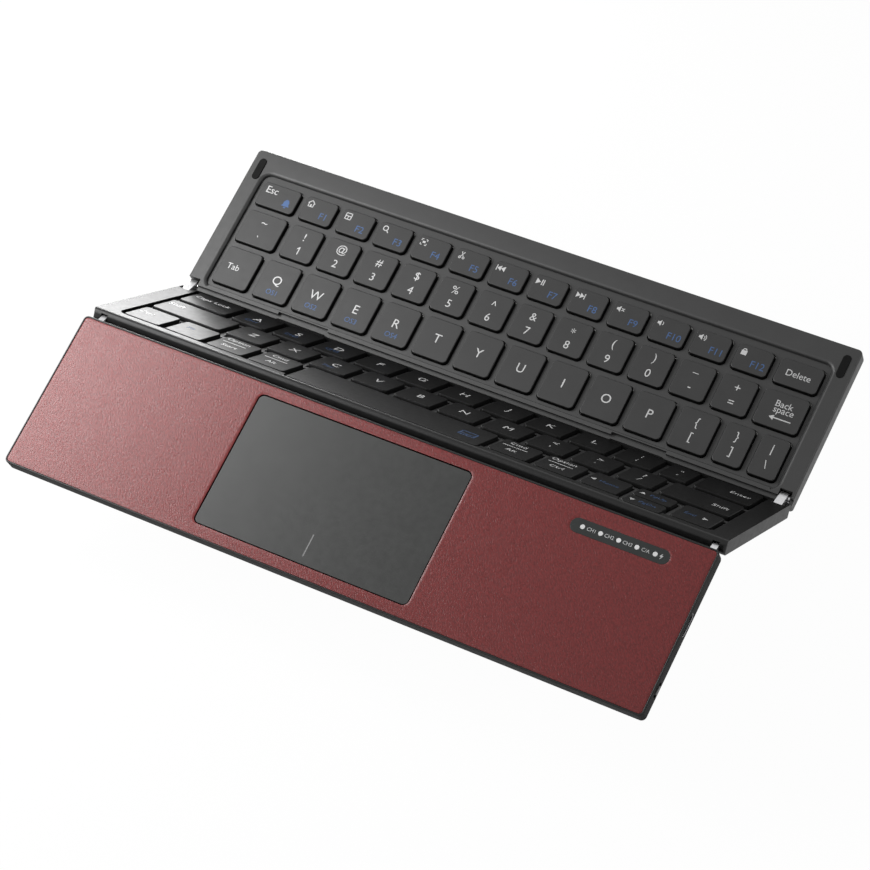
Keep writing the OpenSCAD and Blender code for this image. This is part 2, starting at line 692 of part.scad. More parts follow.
module front_frame() color(grey) in_front() difference() {
    union() {
        difference() {
            intersection() {
                front_case();
                box(full_x, [-front_d - over, front_back + over], [front_split, over]);
            }
            front_bay(front_split - over, deck_top);
        }
        front_bosses(front_split, deck_top);
    }
    front_inset(-leather_t, over, 0);
    round_box(grow(pad_x, pad_gap), grow(pad_y, pad_gap), [-front_t, over], pad_r + pad_gap);
    window_shape(-front_t, over, 0.02);
    front_screw_holes();
}

module front_base() color(grey) in_front() difference() {
    union() {
        difference() {
            intersection() {
                front_case();
                box(full_x, [-front_d - over, front_back + over], [-front_t - over, front_split]);
            }
            front_bay(front_floor, over);
        }
        front_bosses(front_floor, front_split);
        for (x = board_posts, y = grow(board_y, -4)) translate([x, y, front_floor])
            cylinder(h = board_up, r = boss_out, $fn = fine);
    }
    front_screw_holes();
}

module front_leather() color(red_leather) in_front() difference() {
    front_inset(-leather_t, -0.05, 0.05);
    round_box(grow(pad_x, pad_gap), grow(pad_y, pad_gap), [-front_t, over], pad_r + pad_gap);
    window_shape(-front_t, over, 0.02);
}

module front_pins() color(steel) in_front()
    pin_set(front_pin_x, 0, front_pivot - front_t, front_pin_r, 0);

module front_feet() color(black) in_front() for (s = [-1, 1])
    translate([s * (half_w - foot_in), foot_edge - front_d, 0])
        round_box([-foot_l / 2, foot_l / 2], [-foot_w / 2, foot_w / 2],
            [-front_t - foot_h, -front_t], 1.2);

screw_r = 0.6;
screw_l = front_t - 1.9;                     // into the frame's bosses
screw_head_r = 1.1;
screw_head_h = 0.4;
boss_out = 1.6;
screw_in = 12;                               // screws, in from the sides
screw_places = [for (x = [-half_w + screw_in, half_w - screw_in],
    y = [-boss_out - 1, -front_d + wall + 0.7]) [x, y]];
module front_screws() color(steel) in_front() for (p = screw_places)
    translate([p[0], p[1], -front_t]) {
        cylinder(h = screw_head_h, r = screw_head_r, $fn = fine);
        cylinder(h = screw_l, r = screw_r, $fn = fine);
    }

module touchpad() color(grey) in_front()
    round_box(pad_x, pad_y, [-pad_sink - pad_t, -pad_sink], pad_r);
module touchpad_board() color(green) in_front() translate([0, 0, -pad_sink - pad_t]) {
    box(grow(pad_x, -3), grow(pad_y, -3), [-0.6, 0]);
    translate([mean(pad_x), pad_y[0] + 9, -1.1]) cylinder(h = 0.5, r = 2.2, $fn = fine);
}

module battery() color("silver") in_front()
    round_box([-half_w + wall + 4, -half_w + wall + 4 + battery_w],
        [-front_d + wall + 6, -front_d + wall + 6 + battery_d],
        [front_floor, front_floor + battery_t], 1);

board_x = [pad_x[1] + 8, half_w - wall - 0.3];
board_y = [-front_d + wall + 2.6, -front_link_r - 2.8];
board_posts = [board_x[0] + 4, board_x[1] - 10];
module main_board() color(green) in_front() difference() {
    box(board_x, board_y, board_z);
    box([half_w - port_l - 0.3, half_w], grow([-port_v, -port_v], port_w / 2 + 0.1),
        grow(board_z, over));
}

light_top = -leather_t - 0.9;
module status_lights() color("white") in_front() for (i = [0 : lights - 1])
    translate([window_x - light_left + (i - (lights - 1) / 2) * light_pitch, -window_v, board_z[1]])
        translate([-1, -0.5, 0]) cube([2, 1, light_top - board_z[1]]);
module status_window() color(black) in_front() window_shape(-leather_t - 0.8, -0.1, 0);

module charging_port() color(steel) in_front() difference() {
    port_shape(0, half_w - port_l - 0.2, half_w - 0.2);
    port_cavity();
}
port_wall = 0.3;
module port_cavity() {
    r = port_h / 2 - port_wall;
    x = [half_w - port_l + 0.8, half_w + over];
    for (s = [-1, 1]) rod(x, -port_v + s * (port_w / 2 - port_h / 2), port_z + port_h / 2, r);
    box(x, [-port_v - port_w / 2 + port_h / 2, -port_v + port_w / 2 - port_h / 2],
        [port_z + port_wall, port_z + port_h - port_wall]);
}

module power_switch() color(black) in_front() {
    box([half_w - wall - 1.2, half_w + switch_proud],
        grow([-switch_v, -switch_v], switch_l / 2), [switch_z, switch_z + switch_h]);
    box([half_w - wall - 1.2, half_w - wall - 0.2],
        grow([-switch_v, -switch_v], switch_l / 2 + 1), [switch_z, switch_z + switch_h + 0.4]);
}

rear_cover();
rear_bezel();
rear_deck();
rear_plate();
rear_membrane();
rear_domes();
rear_leather();
rear_bumpers();
rear_feet();
rear_magnets();
rear_pins();
key_escape();
keys_function();
key_delete();
keys_number();
key_backspace();
key_tab();
keys_top_letters();
mid_cover();
mid_frame();
mid_deck();
mid_plate();
mid_membrane();
mid_domes();
mid_rear_pins();
mid_front_pins();
key_caps_lock();
keys_home_letters();
key_enter();
key_left_shift();
keys_lower_letters();
key_right_shift();
key_control();
key_function_shift();
keys_modifier();
key_space();
key_arrow_left();
key_arrow_up();
key_arrow_down();
key_arrow_right();
rear_link_left_arm();
rear_link_right_arm();
front_link_left_arm();
front_link_right_arm();
front_base();
front_frame();
front_leather();
front_pins();
front_feet();
front_screws();
touchpad();
touchpad_board();
battery();
main_board();
status_lights();
status_window();
charging_port();
power_switch();
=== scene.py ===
"""The looks of a folding keyboard: three hinged panels, two of them with keys, one with a touchpad.

Each piece is made in its panel's own frame: x to the right, y away from the user along the panel,
z out of its top face, with z = 0 on that face and y = 0 above the pivot of its fold. The links are
made in the frame of the whole. The tables give millimetres, and MM turns them into metres. Sizes that
the CAD already has are read from its nodes.
"""
import json
import math

import bmesh
import bpy
from mathutils import Matrix, Vector

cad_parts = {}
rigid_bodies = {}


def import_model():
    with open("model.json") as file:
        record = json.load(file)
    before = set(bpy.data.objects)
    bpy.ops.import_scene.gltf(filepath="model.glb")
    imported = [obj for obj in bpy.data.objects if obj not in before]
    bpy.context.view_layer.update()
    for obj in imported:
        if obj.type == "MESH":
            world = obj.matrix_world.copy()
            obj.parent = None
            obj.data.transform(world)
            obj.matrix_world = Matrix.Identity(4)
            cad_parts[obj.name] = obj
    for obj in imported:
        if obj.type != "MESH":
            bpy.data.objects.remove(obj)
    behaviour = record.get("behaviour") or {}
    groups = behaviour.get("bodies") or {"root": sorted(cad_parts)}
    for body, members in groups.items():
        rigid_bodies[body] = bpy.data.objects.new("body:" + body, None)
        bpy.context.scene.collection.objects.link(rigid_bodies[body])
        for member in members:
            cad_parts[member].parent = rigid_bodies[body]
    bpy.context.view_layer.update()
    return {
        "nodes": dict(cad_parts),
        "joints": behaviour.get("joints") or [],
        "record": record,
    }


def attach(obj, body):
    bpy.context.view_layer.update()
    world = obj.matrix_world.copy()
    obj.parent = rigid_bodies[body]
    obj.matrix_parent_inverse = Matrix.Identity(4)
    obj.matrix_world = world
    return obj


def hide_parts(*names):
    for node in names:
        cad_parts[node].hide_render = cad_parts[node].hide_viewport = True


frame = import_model()

MM = 0.001
RECORD = frame["record"]
BODY_OF = {node: body for body, nodes in RECORD["behaviour"]["bodies"].items() for node in nodes}
KEY_BODY = "_body"      # each node of keys is a body by itself, whose name has this ending
PANEL_OF_KEYS = {
    entry["child"][:-len(KEY_BODY)]: entry["parent"]
    for entry in frame["joints"] if entry["child"].endswith(KEY_BODY)
}


# ---------------------------------------------------------------- camera and light

# Angles are in degrees. Azimuth 0 looks from the user's side and 90 from the right.
LENS, SENSOR = 116.6, 36.0
FAR_CLIP = 20.0         # metres
AIM = (-25.65, 43.22, -39.32)
AZIMUTH, ELEVATION, ROLL = 30.51, 41.17, -0.855
DISTANCE = 1085.9

LAMP_AIM = (0, 0, 15)
LAMPS = (               # name, azimuth, elevation, distance, width, height, watts
    ("left_window", -79, 46, 467, 170, 170, 1.03),
    ("front_left_window", -62, 28, 430, 260, 220, 1.62),
    ("low_back_window", -134, 5, 400, 200, 110, 1.3),
    ("front_window", -41, 40, 550, 130, 90, 0.16),
    ("right_window", 96, 28, 450, 160, 160, 0.32),
)

PURE_WHITE = (1, 1, 1, 1)
FILL = 0.06             # strength of the world for matte surfaces
FLOOR_WHITE = (0.92, 0.92, 0.92, 1)
FLOOR_GLOW = 0.975      # how much of the floor's white is its own, so that shadows stay faint
FLOOR_DROP = 32         # leaves room for the rear panel, which goes below its feet when it opens flat
FLOOR_REACH = 6.0       # metres from the middle to each side


def turn_towards(azimuth, elevation):
    """Axes of a camera or lamp that looks at the origin from that side: right, up, back."""
    az, el = math.radians(azimuth), math.radians(elevation)
    back = Vector((math.sin(az) * math.cos(el), -math.cos(az) * math.cos(el), math.sin(el)))
    right = Vector((math.cos(az), math.sin(az), 0))
    return right, back.cross(right), back


def placed(name, data, aim, azimuth, elevation, distance, roll=0.0):
    """An object that looks at the aim point from the given side."""
    right, up, back = turn_towards(azimuth, elevation)
    at = Vector(aim) * MM + back * distance * MM
    axes = Matrix((right, up, back)).transposed().to_4x4()
    thing = bpy.data.objects.new(name, data)
    thing.matrix_world = Matrix.Translation(at) @ axes @ Matrix.Rotation(math.radians(roll), 4, "Z")
    bpy.context.scene.collection.objects.link(thing)
    return thing


def make_camera():
    data = bpy.data.cameras.new("camera")
    data.lens = LENS
    data.sensor_width = SENSOR
    data.clip_end = FAR_CLIP
    bpy.context.scene.camera = placed("camera", data, AIM, AZIMUTH, ELEVATION, DISTANCE, ROLL)


def make_lamps():
    """Large rectangular lamps aimed at the middle of the keyboard."""
    for name, azimuth, elevation, distance, width, height, watts in LAMPS:
        data = bpy.data.lights.new(name, "AREA")
        data.shape = "RECTANGLE"
        data.size, data.size_y = width * MM, height * MM
        data.energy = watts
        placed(name, data, LAMP_AIM, azimuth, elevation, distance).visible_camera = False


def worked_out(tree, operation, first, second):
    """The result of a math node. Each input is a number or an output of another node."""
    node = tree.nodes.new("ShaderNodeMath")
    node.operation = operation
    for socket, value in zip(node.inputs, (first, second)):
        if isinstance(value, float):
            socket.default_value = value
        else:
            tree.links.new(value, socket)
    return node.outputs[0]


def seen_by(tree, *rays):
    """1 for rays of those kinds and 0 for all others."""
    path = tree.nodes.new("ShaderNodeLightPath")
    result, *others = (path.outputs["Is %s Ray" % kind] for kind in rays)
    for other in others:
        result = worked_out(tree, "MAXIMUM", result, other)
    return result


def make_world():
    """Plain white for the camera, for gloss and for glass; a softer fill for matte surfaces."""
    world = bpy.data.worlds.new("studio")
    bpy.context.scene.world = world
    world.use_nodes = True
    tree = world.node_tree
    shade = tree.nodes["Background"]
    shade.inputs["Color"].default_value = PURE_WHITE
    level = tree.nodes.new("ShaderNodeMapRange")
    level.inputs["To Min"].default_value = FILL
    level.inputs["To Max"].default_value = 1.0
    tree.links.new(seen_by(tree, "Camera", "Glossy", "Transmission"), level.inputs["Value"])
    tree.links.new(level.outputs[0], shade.inputs["Strength"])


def floor_material():
    """Matt white that glows by itself where the camera or a reflection sees it."""
    material = bpy.data.materials.new("floor_white")
    material.use_nodes = True
    tree = material.node_tree
    shader = tree.nodes["Principled BSDF"]
    shader.inputs["Base Color"].default_value = FLOOR_WHITE
    shader.inputs["Roughness"].default_value = 0.9
    shader.inputs["Specular IOR Level"].default_value = 0.0
    glow = tree.nodes.new("ShaderNodeEmission")
    glow.inputs["Color"].default_value = PURE_WHITE
    mix = tree.nodes.new("ShaderNodeMixShader")
    share = worked_out(tree, "MULTIPLY", seen_by(tree, "Camera", "Glossy"), FLOOR_GLOW)
    tree.links.new(share, mix.inputs["Fac"])
    tree.links.new(shader.outputs[0], mix.inputs[1])
    tree.links.new(glow.outputs[0], mix.inputs[2])
    tree.links.new(mix.outputs[0], tree.nodes["Material Output"].inputs["Surface"])
    return material


def make_floor():
    """A white floor that keeps a faint shadow of the keyboard."""
    bm = bmesh.new()
    bmesh.ops.create_grid(bm, x_segments=1, y_segments=1, size=FLOOR_REACH)
    mesh = bpy.data.meshes.new("floor")
    bm.to_mesh(mesh)
    bm.free()
    mesh.materials.append(floor_material())
    floor = bpy.data.objects.new("floor", mesh)
    floor.location.z = -FLOOR_DROP * MM
    bpy.context.scene.collection.objects.link(floor)


# ---------------------------------------------------------------- materials

NOISE_LOW, NOISE_HIGH = 0.3, 0.7    # most of a noise's values lie between these
GRAIN_ANGLE = -51.0     # the way the leather's grain runs, from the panel's x axis
GRAIN_STRETCH = 2.2     # how much longer than wide the grain is
GRAIN_BEND = 0.6        # how much the grain winds


class Surface:
    """A node material on one Principled shader, with the few patterns that the pieces need."""

    def __init__(self, name, colour, roughness, metallic=0.0, specular=0.5):
        self.material = bpy.data.materials.new(name)
        self.material.use_nodes = True
        self.tree = self.material.node_tree
        self.shader = self.tree.nodes["Principled BSDF"]
        self.colour = colour
        self.shader.inputs["Base Color"].default_value = (*colour, 1)
        self.shader.inputs["Roughness"].default_value = roughness
        self.shader.inputs["Metallic"].default_value = metallic
        self.shader.inputs["Specular IOR Level"].default_value = specular
        self.place = self.tree.nodes.new("ShaderNodeTexCoord").outputs["Object"]

    def squeezed(self, x, y, z):
        """Coordinates that squeeze the pattern along each axis by its factor; under 1 draws it out."""
        node = self.tree.nodes.new("ShaderNodeMapping")
        node.inputs["Scale"].default_value = (x, y, z)
        self.tree.links.new(self.place, node.inputs["Vector"])
        return node.outputs["Vector"]

    def slanted(self, angle, stretch):
        """Coordinates that draw the pattern out by that factor along an angle from x."""
        node = self.tree.nodes.new("ShaderNodeMapping")
        node.vector_type = "TEXTURE"
        node.inputs["Rotation"].default_value = (0, 0, math.radians(angle))
        node.inputs["Scale"].default_value = (stretch, 1, 1)
        self.tree.links.new(self.place, node.inputs["Vector"])
        return node.outputs["Vector"]

    def noise(self, size, detail=2.0, place=None, distortion=0.0):
        """Noise with features of that size in millimetres."""
        node = self.tree.nodes.new("ShaderNodeTexNoise")
        node.inputs["Scale"].default_value = 1 / (size * MM)
        node.inputs["Detail"].default_value = detail
        node.inputs["Distortion"].default_value = distortion
        self.tree.links.new(place or self.place, node.inputs["Vector"])
        return node.outputs["Fac"]

    def cells(self, size, place):
        """Distance to the walls between cells of that size in millimetres."""
        node = self.tree.nodes.new("ShaderNodeTexVoronoi")
        node.feature = "DISTANCE_TO_EDGE"
        node.inputs["Scale"].default_value = 1 / (size * MM)
        self.tree.links.new(place, node.inputs["Vector"])
        return node.outputs["Distance"]

    def span(self, value, low, high, to_low, to_high):
        """The value, moved from one range to another."""
        node = self.tree.nodes.new("ShaderNodeMapRange")
        ends = {"From Min": low, "From Max": high, "To Min": to_low, "To Max": to_high}
        for socket, number in ends.items():
            node.inputs[socket].default_value = number
        self.tree.links.new(value, node.inputs["Value"])
        return node.outputs["Result"]

    def mottle(self, value, dark, light, low=NOISE_LOW, high=NOISE_HIGH):
        """The base colour times dark where the value is low, and times light where it is high."""
        node = self.tree.nodes.new("ShaderNodeValToRGB")
        first, last = node.color_ramp.elements
        first.position, last.position = low, high
        first.color = (*(c * dark for c in self.colour), 1)
        last.color = (*(c * light for c in self.colour), 1)
        self.tree.links.new(value, node.inputs["Fac"])
        self.tree.links.new(node.outputs["Color"], self.shader.inputs["Base Color"])

    def polish(self, value, smooth, rough):
        """Roughness that varies with the value."""
        level = self.span(value, NOISE_LOW, NOISE_HIGH, smooth, rough)
        self.tree.links.new(level, self.shader.inputs["Roughness"])

    def relief(self, value, depth, strength=1.0):
        """Bump from the value, with its depth in millimetres, over any bump already there."""
        node = self.tree.nodes.new("ShaderNodeBump")
        node.inputs["Distance"].default_value = depth * MM
        node.inputs["Strength"].default_value = strength
        self.tree.links.new(value, node.inputs["Height"])
        before = self.shader.inputs["Normal"].links
        if before:
            self.tree.links.new(before[0].from_socket, node.inputs["Normal"])
        self.tree.links.new(node.outputs["Normal"], self.shader.inputs["Normal"])


def grey(level):
    return (level, level, level)


def moulded(name, colour, roughness, grain=0.22, depth=0.002, specular=0.5):
    """Spark-eroded moulded plastic: fine even grain, faint cloudiness."""
    skin = Surface(name, colour, roughness, specular=specular)
    skin.mottle(skin.noise(size=9.0, detail=3.0), dark=0.92, light=1.08)
    skin.polish(skin.noise(size=2.5), smooth=roughness - 0.03, rough=roughness + 0.03)
    if depth:
        skin.relief(skin.noise(grain), depth)
    return skin


def metal(name, colour, roughness, along=(1, 1, 1), grain=0.15, depth=0.003):
    """Metal with fine marks, drawn out along an axis where that factor is small."""
    skin = Surface(name, colour, roughness, metallic=1.0)
    marks = skin.noise(grain, place=skin.squeezed(*along))
    skin.mottle(marks, dark=0.9, light=1.06)
    skin.polish(skin.noise(size=1.5), smooth=roughness - 0.05, rough=roughness + 0.07)
    skin.relief(marks, depth)
    return skin


def ink(name, colour, specular=0.3):
    """Printed ink: nearly flat, with a finer grain than what it lies on."""
    return moulded(name, colour, 0.5, grain=0.1, depth=0.001, specular=specular)


def leather_skin():
    """Fine coated leather: shallow pebbles drawn out along a slant, with creases between them."""
    skin = Surface("leather_oxblood", (0.163, 0.021, 0.021), 0.26, specular=0.31)
    slant = skin.slanted(GRAIN_ANGLE, GRAIN_STRETCH)
    creases = skin.noise(size=0.48, place=slant, distortion=GRAIN_BEND)
    wrinkles = skin.noise(size=0.32, place=slant, distortion=GRAIN_BEND)
    pebbles = skin.span(skin.cells(0.8, slant), low=0.0, high=0.14, to_low=0.0, to_high=1.0)
    # Painted shade and light: the colour is darker in the crease valleys and lighter on the rises between
    # them.
    skin.mottle(creases, dark=0.74, light=1.18, low=0.36, high=0.62)
    skin.polish(skin.noise(size=6.0, detail=3.0), smooth=0.26, rough=0.31)
    skin.relief(pebbles, depth=0.02, strength=0.25)
    skin.relief(wrinkles, depth=0.05, strength=0.8)
    skin.relief(creases, depth=0.09, strength=0.8)
    skin.relief(skin.noise(size=14.0), depth=0.12, strength=0.5)
    return skin


SURFACES = {
    "casing": moulded("casing_grey", grey(0.026), 0.45, depth=0.001, specular=0.42),
    "deck": moulded("deck_grey", grey(0.025), 0.45, depth=0.001, specular=0.4),
    "trim": moulded("trim_black", grey(0.010), 0.35, specular=0.25),
    "wall": moulded("casing_black", grey(0.009), 0.55, specular=0.05),
    "key": moulded("key_satin", grey(0.029), 0.43, grain=0.16, depth=0.001, specular=0.3),
    # Painted shade: the middle panel's keys, casing and nose are the rear panel's plastic, made several
    # times darker because that panel lies in shadow.
    "middle_key_painted_shade": moulded("key_satin_painted_shade", grey(0.004), 0.36, depth=0, specular=0.12),
    "middle_casing_painted_shade": moulded("casing_grey_painted_shade", grey(0.005), 0.36, depth=0, specular=0.12),
    "middle_nose_painted_shade": moulded("casing_nose_painted_shade", grey(0.005), 0.38, depth=0, specular=0.24),
    # Painted shade: the key plastic darkened to near black, for the sides of the caps.
    "key_side_painted_shade": moulded("key_plastic_painted_shade", grey(0.003), 0.4, specular=0.15),
    "leather": leather_skin(),
    "pad": moulded("pad_smooth", (0.030, 0.031, 0.030), 0.34, grain=0.12, depth=0.0005, specular=0.3),
    "glass": moulded("window_smoked", (0.034, 0.037, 0.036), 0.25, grain=0.3, depth=0.0005, specular=0.2),
    "rubber": moulded("rubber_black", grey(0.005), 0.6, grain=0.3, depth=0.012, specular=0.08),
    "knob": moulded("knob_grey", grey(0.13), 0.45, grain=0.2, specular=0.4),
    "hinge": metal("hinge_satin", (0.62, 0.62, 0.63), 0.34, along=(1, 0.15, 1)),
    "pin": metal("pin_turned", (0.45, 0.45, 0.46), 0.28, along=(0.2, 1, 1)),
    "plate": metal("plate_stamped", (0.55, 0.55, 0.56), 0.35, along=(0.1, 1, 1)),
    "magnet": metal("magnet_nickel", (0.66, 0.64, 0.60), 0.15),
    "port": metal("port_drawn", (0.42, 0.42, 0.43), 0.28, along=(0.2, 1, 1)),
    "foil": metal("battery_foil", (0.62, 0.62, 0.64), 0.32, grain=0.8, depth=0.05),
    "film": moulded("membrane_green", (0.07, 0.24, 0.13), 0.3),
    "silicone": moulded("dome_silicone", (0.72, 0.72, 0.70), 0.55),
    "board": moulded("board_mask", (0.012, 0.11, 0.045), 0.32, grain=0.8, depth=0.02),
    "white_ink": ink("ink_white", grey(0.62)),
    "blue_ink": ink("ink_blue", (0.06, 0.12, 0.27)),
    # Painted shade: the blue ink at half its colour, for the keys of the middle panel, which lie in shadow.
    "blue_ink_painted_shade": ink("ink_blue_painted_shade", (0.03, 0.06, 0.135), specular=0.15),
    "grey_ink": ink("ink_grey", grey(0.20)),
    "light": moulded("light_guide", grey(0.85), 0.3, grain=0.2, depth=0.001),
}


# ---------------------------------------------------------------- panels' frames and meshes

UPWARD = 0.5            # z of its normal from which a face counts as looking up
SAME_PLACE = 0.002      # points nearer to each other than this are one
SAME_FACE = math.radians(0.5)       # facets that turn less than this are one face
HARD = math.radians(38)             # edges that turn more than this are creases


def joint(name):
    return next(entry for entry in frame["joints"] if entry["name"] == name)


def panel_frame(pivot_joint, flat_node, face_node):
    """A panel's own axes, from its fold's pivot, a flat node that lies level in it, and its top face."""
    flat = frame["nodes"][flat_node].data
    out = max((face for face in flat.polygons if face.normal.z > UPWARD), key=lambda face: face.area).normal
    tilt = math.atan2(-out.y, out.z)
    at = Matrix.Translation(joint(pivot_joint)["pos_m"]) @ Matrix.Rotation(tilt, 4, "X")
    back = at.inverted()
    face = max((back @ vertex.co).z for vertex in frame["nodes"][face_node].data.vertices)
    return at @ Matrix.Translation((0, 0, face))


REAR = panel_frame("rear_fold_on_rear", "rear_plate", "rear_bezel")
MIDDLE = panel_frame("rear_fold_on_middle", "mid_plate", "mid_frame")
FRONT = panel_frame("front_fold_on_front", "touchpad", "front_frame")
WHOLE = Matrix.Identity(4)          # the frame of the whole, in which the links are nearly level


def node_mesh(node, panel):
    """A CAD node's shape in its panel's frame, with its facets merged into whole faces."""
    mesh = frame["nodes"][node].data.copy()
    mesh.transform(panel.inverted())
    bm = bmesh.new()
    bm.from_mesh(mesh)
    bpy.data.meshes.remove(mesh)
    bmesh.ops.remove_doubles(bm, verts=bm.verts, dist=SAME_PLACE * MM)
    bmesh.ops.dissolve_limit(bm, angle_limit=SAME_FACE, verts=bm.verts, edges=bm.edges)
    for face in bm.faces:
        face.material_index = 0
    return bm


def finished(name, bm, panel, surfaces):
    """An object from a mesh in a panel's frame, smooth except at its creases."""
    bmesh.ops.recalc_face_normals(bm, faces=bm.faces)
    for face in bm.faces:
        face.smooth = True
    for edge in bm.edges:
        edge.smooth = len(edge.link_faces) == 2 and edge.calc_face_angle(math.pi) < HARD
    mesh = bpy.data.meshes.new(name)
    bm.to_mesh(mesh)
    bm.free()
    for surface in surfaces:
        mesh.materials.append(SURFACES[surface].material)
    thing = bpy.data.objects.new(name, mesh)
    bpy.context.scene.collection.objects.link(thing)
    thing.matrix_world = panel
    even = thing.modifiers.new("even_shading", "WEIGHTED_NORMAL")
    even.keep_sharp = True
    return thing


def in_place_of(thing, node):
    """The piece stands for that node: same body, same slot."""
    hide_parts(node)
    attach(thing, BODY_OF[node])


def corners(points):
    """Low and high corner of the box round some points."""
    spans = [[point[axis] for point in points] for axis in range(3)]
    return Vector(map(min, spans)), Vector(map(max, spans))


def local_box(node, panel):
    """Low and high corner of a CAD node in its panel's frame."""
    bm = node_mesh(node, panel)
    box = corners([vertex.co for vertex in bm.verts])
    bm.free()
    return box


def soften(bm, width, chosen, segments=3):
    """Rounds the hard edges that the test picks, by a width in millimetres."""
    hard = [
        edge for edge in bm.edges
        if len(edge.link_faces) == 2 and edge.calc_face_angle(0) > HARD and chosen(edge)
    ]
    if hard:
        bmesh.ops.bevel(
            bm, geom=hard, offset=width * MM, offset_type="OFFSET", segments=segments,
            profile=0.5, affect="EDGES", clamp_overlap=False, loop_slide=True,
        )


def softened(node, panel, rounds, surfaces, slot_of=None, prints=()):
    """A CAD node with its edges rounded. Each round is its width and a test that picks its edges.

    slot_of gives a face the place of its surface in the list. Prints are legends, placed from the
    panel's origin.
    """
    bm = node_mesh(node, panel)
    for width, chosen in rounds:
        soften(bm, width, chosen)
    if slot_of:
        bm.normal_update()
        for face in bm.faces:
            face.material_index = slot_of(face)
    top = max(vertex.co.z for vertex in bm.verts)
    for legend in prints:
        print_legend(bm, legend, (0, 0), top)
    in_place_of(finished(node + "_skin", bm, panel, surfaces), node)


# ---------------------------------------------------------------- keys

CAP_CORNER = 1.7
CAP_DRAFT = 0.16        # how far a cap's side leans in, from its skirt to its rounded top edge
CAP_ROUND = 0.32
CAP_SKIRT = 1.5         # depth below the top down to which the side leans
CAP_SHOULDER = 0.6      # depth of the ring that has most of the lean
SHOULDER_SHARE = 0.8    # how much of the lean that is
SIDE_FROM = 0.30        # depth below the top where the side's painted shade begins
CORNER_STEPS = 6
TURNS = (25, 50, 72, 90)            # degrees of the rings in the rounded top edge
LEAST_CORNER = 0.05


def outline(low, high, corner, inset=0.0):
    """Points round a rectangle with rounded corners, in metres."""
    x0, y0, x1, y1 = low[0] + inset, low[1] + inset, high[0] - inset, high[1] - inset
    r = max(corner - inset, LEAST_CORNER * MM)
    points = []
    for cx, cy, start in (
        (x1 - r, y0 + r, -90), (x1 - r, y1 - r, 0), (x0 + r, y1 - r, 90), (x0 + r, y0 + r, 180),
    ):
        for step in range(CORNER_STEPS + 1):
            angle = math.radians(start + 90 * step / CORNER_STEPS)
            points.append((cx + r * math.cos(angle), cy + r * math.sin(angle)))
    return points


def loft(bm, rings, slot_of):
    """A closed solid through rings of (points, height), from the lowest up."""
    loops = [[bm.verts.new((x, y, z)) for x, y in points] for points, z in rings]
    bm.faces.new(reversed(loops[0])).material_index = slot_of(rings[0][1])
    bm.faces.new(loops[-1]).material_index = slot_of(rings[-1][1])
    for low, high, (_, z) in zip(loops, loops[1:], rings[1:]):
        for i in range(len(low)):
            j = (i + 1) % len(low)
            bm.faces.new((low[i], low[j], high[j], high[i])).material_index = slot_of(z)


def islands(bm):
    """The separate parts of a mesh from left to right, each as its low and high corner and its points."""
    left = set(bm.verts)
    parts = []
    while left:
        reached = [left.pop()]
        for vertex in reached:
            near = {edge.other_vert(vertex) for edge in vertex.link_edges} & left
            left -= near
            reached.extend(near)
        points = [vertex.co.copy() for vertex in reached]
        parts.append((*corners(points), points))
    return sorted(parts, key=lambda part: part[0].x)


def cap(bm, low, high):
    """One key cap: straight skirt, slight draft, rounded top edge, flat top; its sides take painted shade.
    """
    profile = [(0.0, CAP_SKIRT), (CAP_DRAFT * SHOULDER_SHARE, CAP_SHOULDER), (CAP_DRAFT, CAP_ROUND)]
    for degrees in TURNS:
        turn = math.radians(degrees)
        profile.append((CAP_DRAFT + CAP_ROUND * (1 - math.cos(turn)), CAP_ROUND * (1 - math.sin(turn))))
    rings = [(outline(low, high, CAP_CORNER * MM), low.z)]
    for inset, depth in profile:
        rings.append((outline(low, high, CAP_CORNER * MM, inset * MM), high.z - depth * MM))
    side_top = high.z - SIDE_FROM * MM
    # Faces below side_top take the second surface, the key plastic darkened to near black: painted shade on
    # the sides.
    loft(bm, rings, lambda z: 1 if z < side_top else 0)


# ---------------------------------------------------------------- legends

INK = 0.03              # how far the print stands proud
LETTER_STEPS = 3        # how finely a letter's curves are drawn
letters = {}


def letter_mesh(text, size):
    """A word as a thin solid, centred on its own middle."""
    if (text, size) not in letters:
        curve = bpy.data.curves.new("legend", "FONT")
        curve.body = text
        curve.size = size * MM
        curve.extrude = INK * MM
        curve.resolution_u = LETTER_STEPS
        curve.align_x = "CENTER"
        holder = bpy.data.objects.new("legend", curve)
        mesh = bpy.data.meshes.new_from_object(holder)
        bpy.data.objects.remove(holder)
        bpy.data.curves.remove(curve)
        low, high = corners([vertex.co for vertex in mesh.vertices])
        mesh.transform(Matrix.Translation((-(low.x + high.x) / 2, -(low.y + high.y) / 2, 0)))
        letters[text, size] = mesh
    return letters[text, size]


def bar(start, end, width):
    """A thick line as a four-cornered shape."""
    (x0, y0), (x1, y1) = start, end
    length = math.hypot(x1 - x0, y1 - y0)
    dx, dy = (y1 - y0) / length * width / 2, (x0 - x1) / length * width / 2
    return [(x0 + dx, y0 + dy), (x1 + dx, y1 + dy), (x1 - dx, y1 - dy), (x0 - dx, y0 - dy)]


def trail(points, width):
    """Thick lines through the points."""
    return [bar(a, b, width) for a, b in zip(points, points[1:])]


def arc(centre, radius, start, end, width, steps):
    """A thick arc, from one angle to another in degrees."""
    turns = [math.radians(start + (end - start) * i / steps) for i in range(steps + 1)]
    outer, inner = (
        [(centre[0] + reach * math.cos(turn), centre[1] + reach * math.sin(turn)) for turn in turns]
        for reach in (radius + width / 2, radius - width / 2)
    )
    return [[outer[i], outer[i + 1], inner[i + 1], inner[i]] for i in range(steps)]


def ring(centre, radius, width, steps):
    return arc(centre, radius, 0, 360, width, steps)


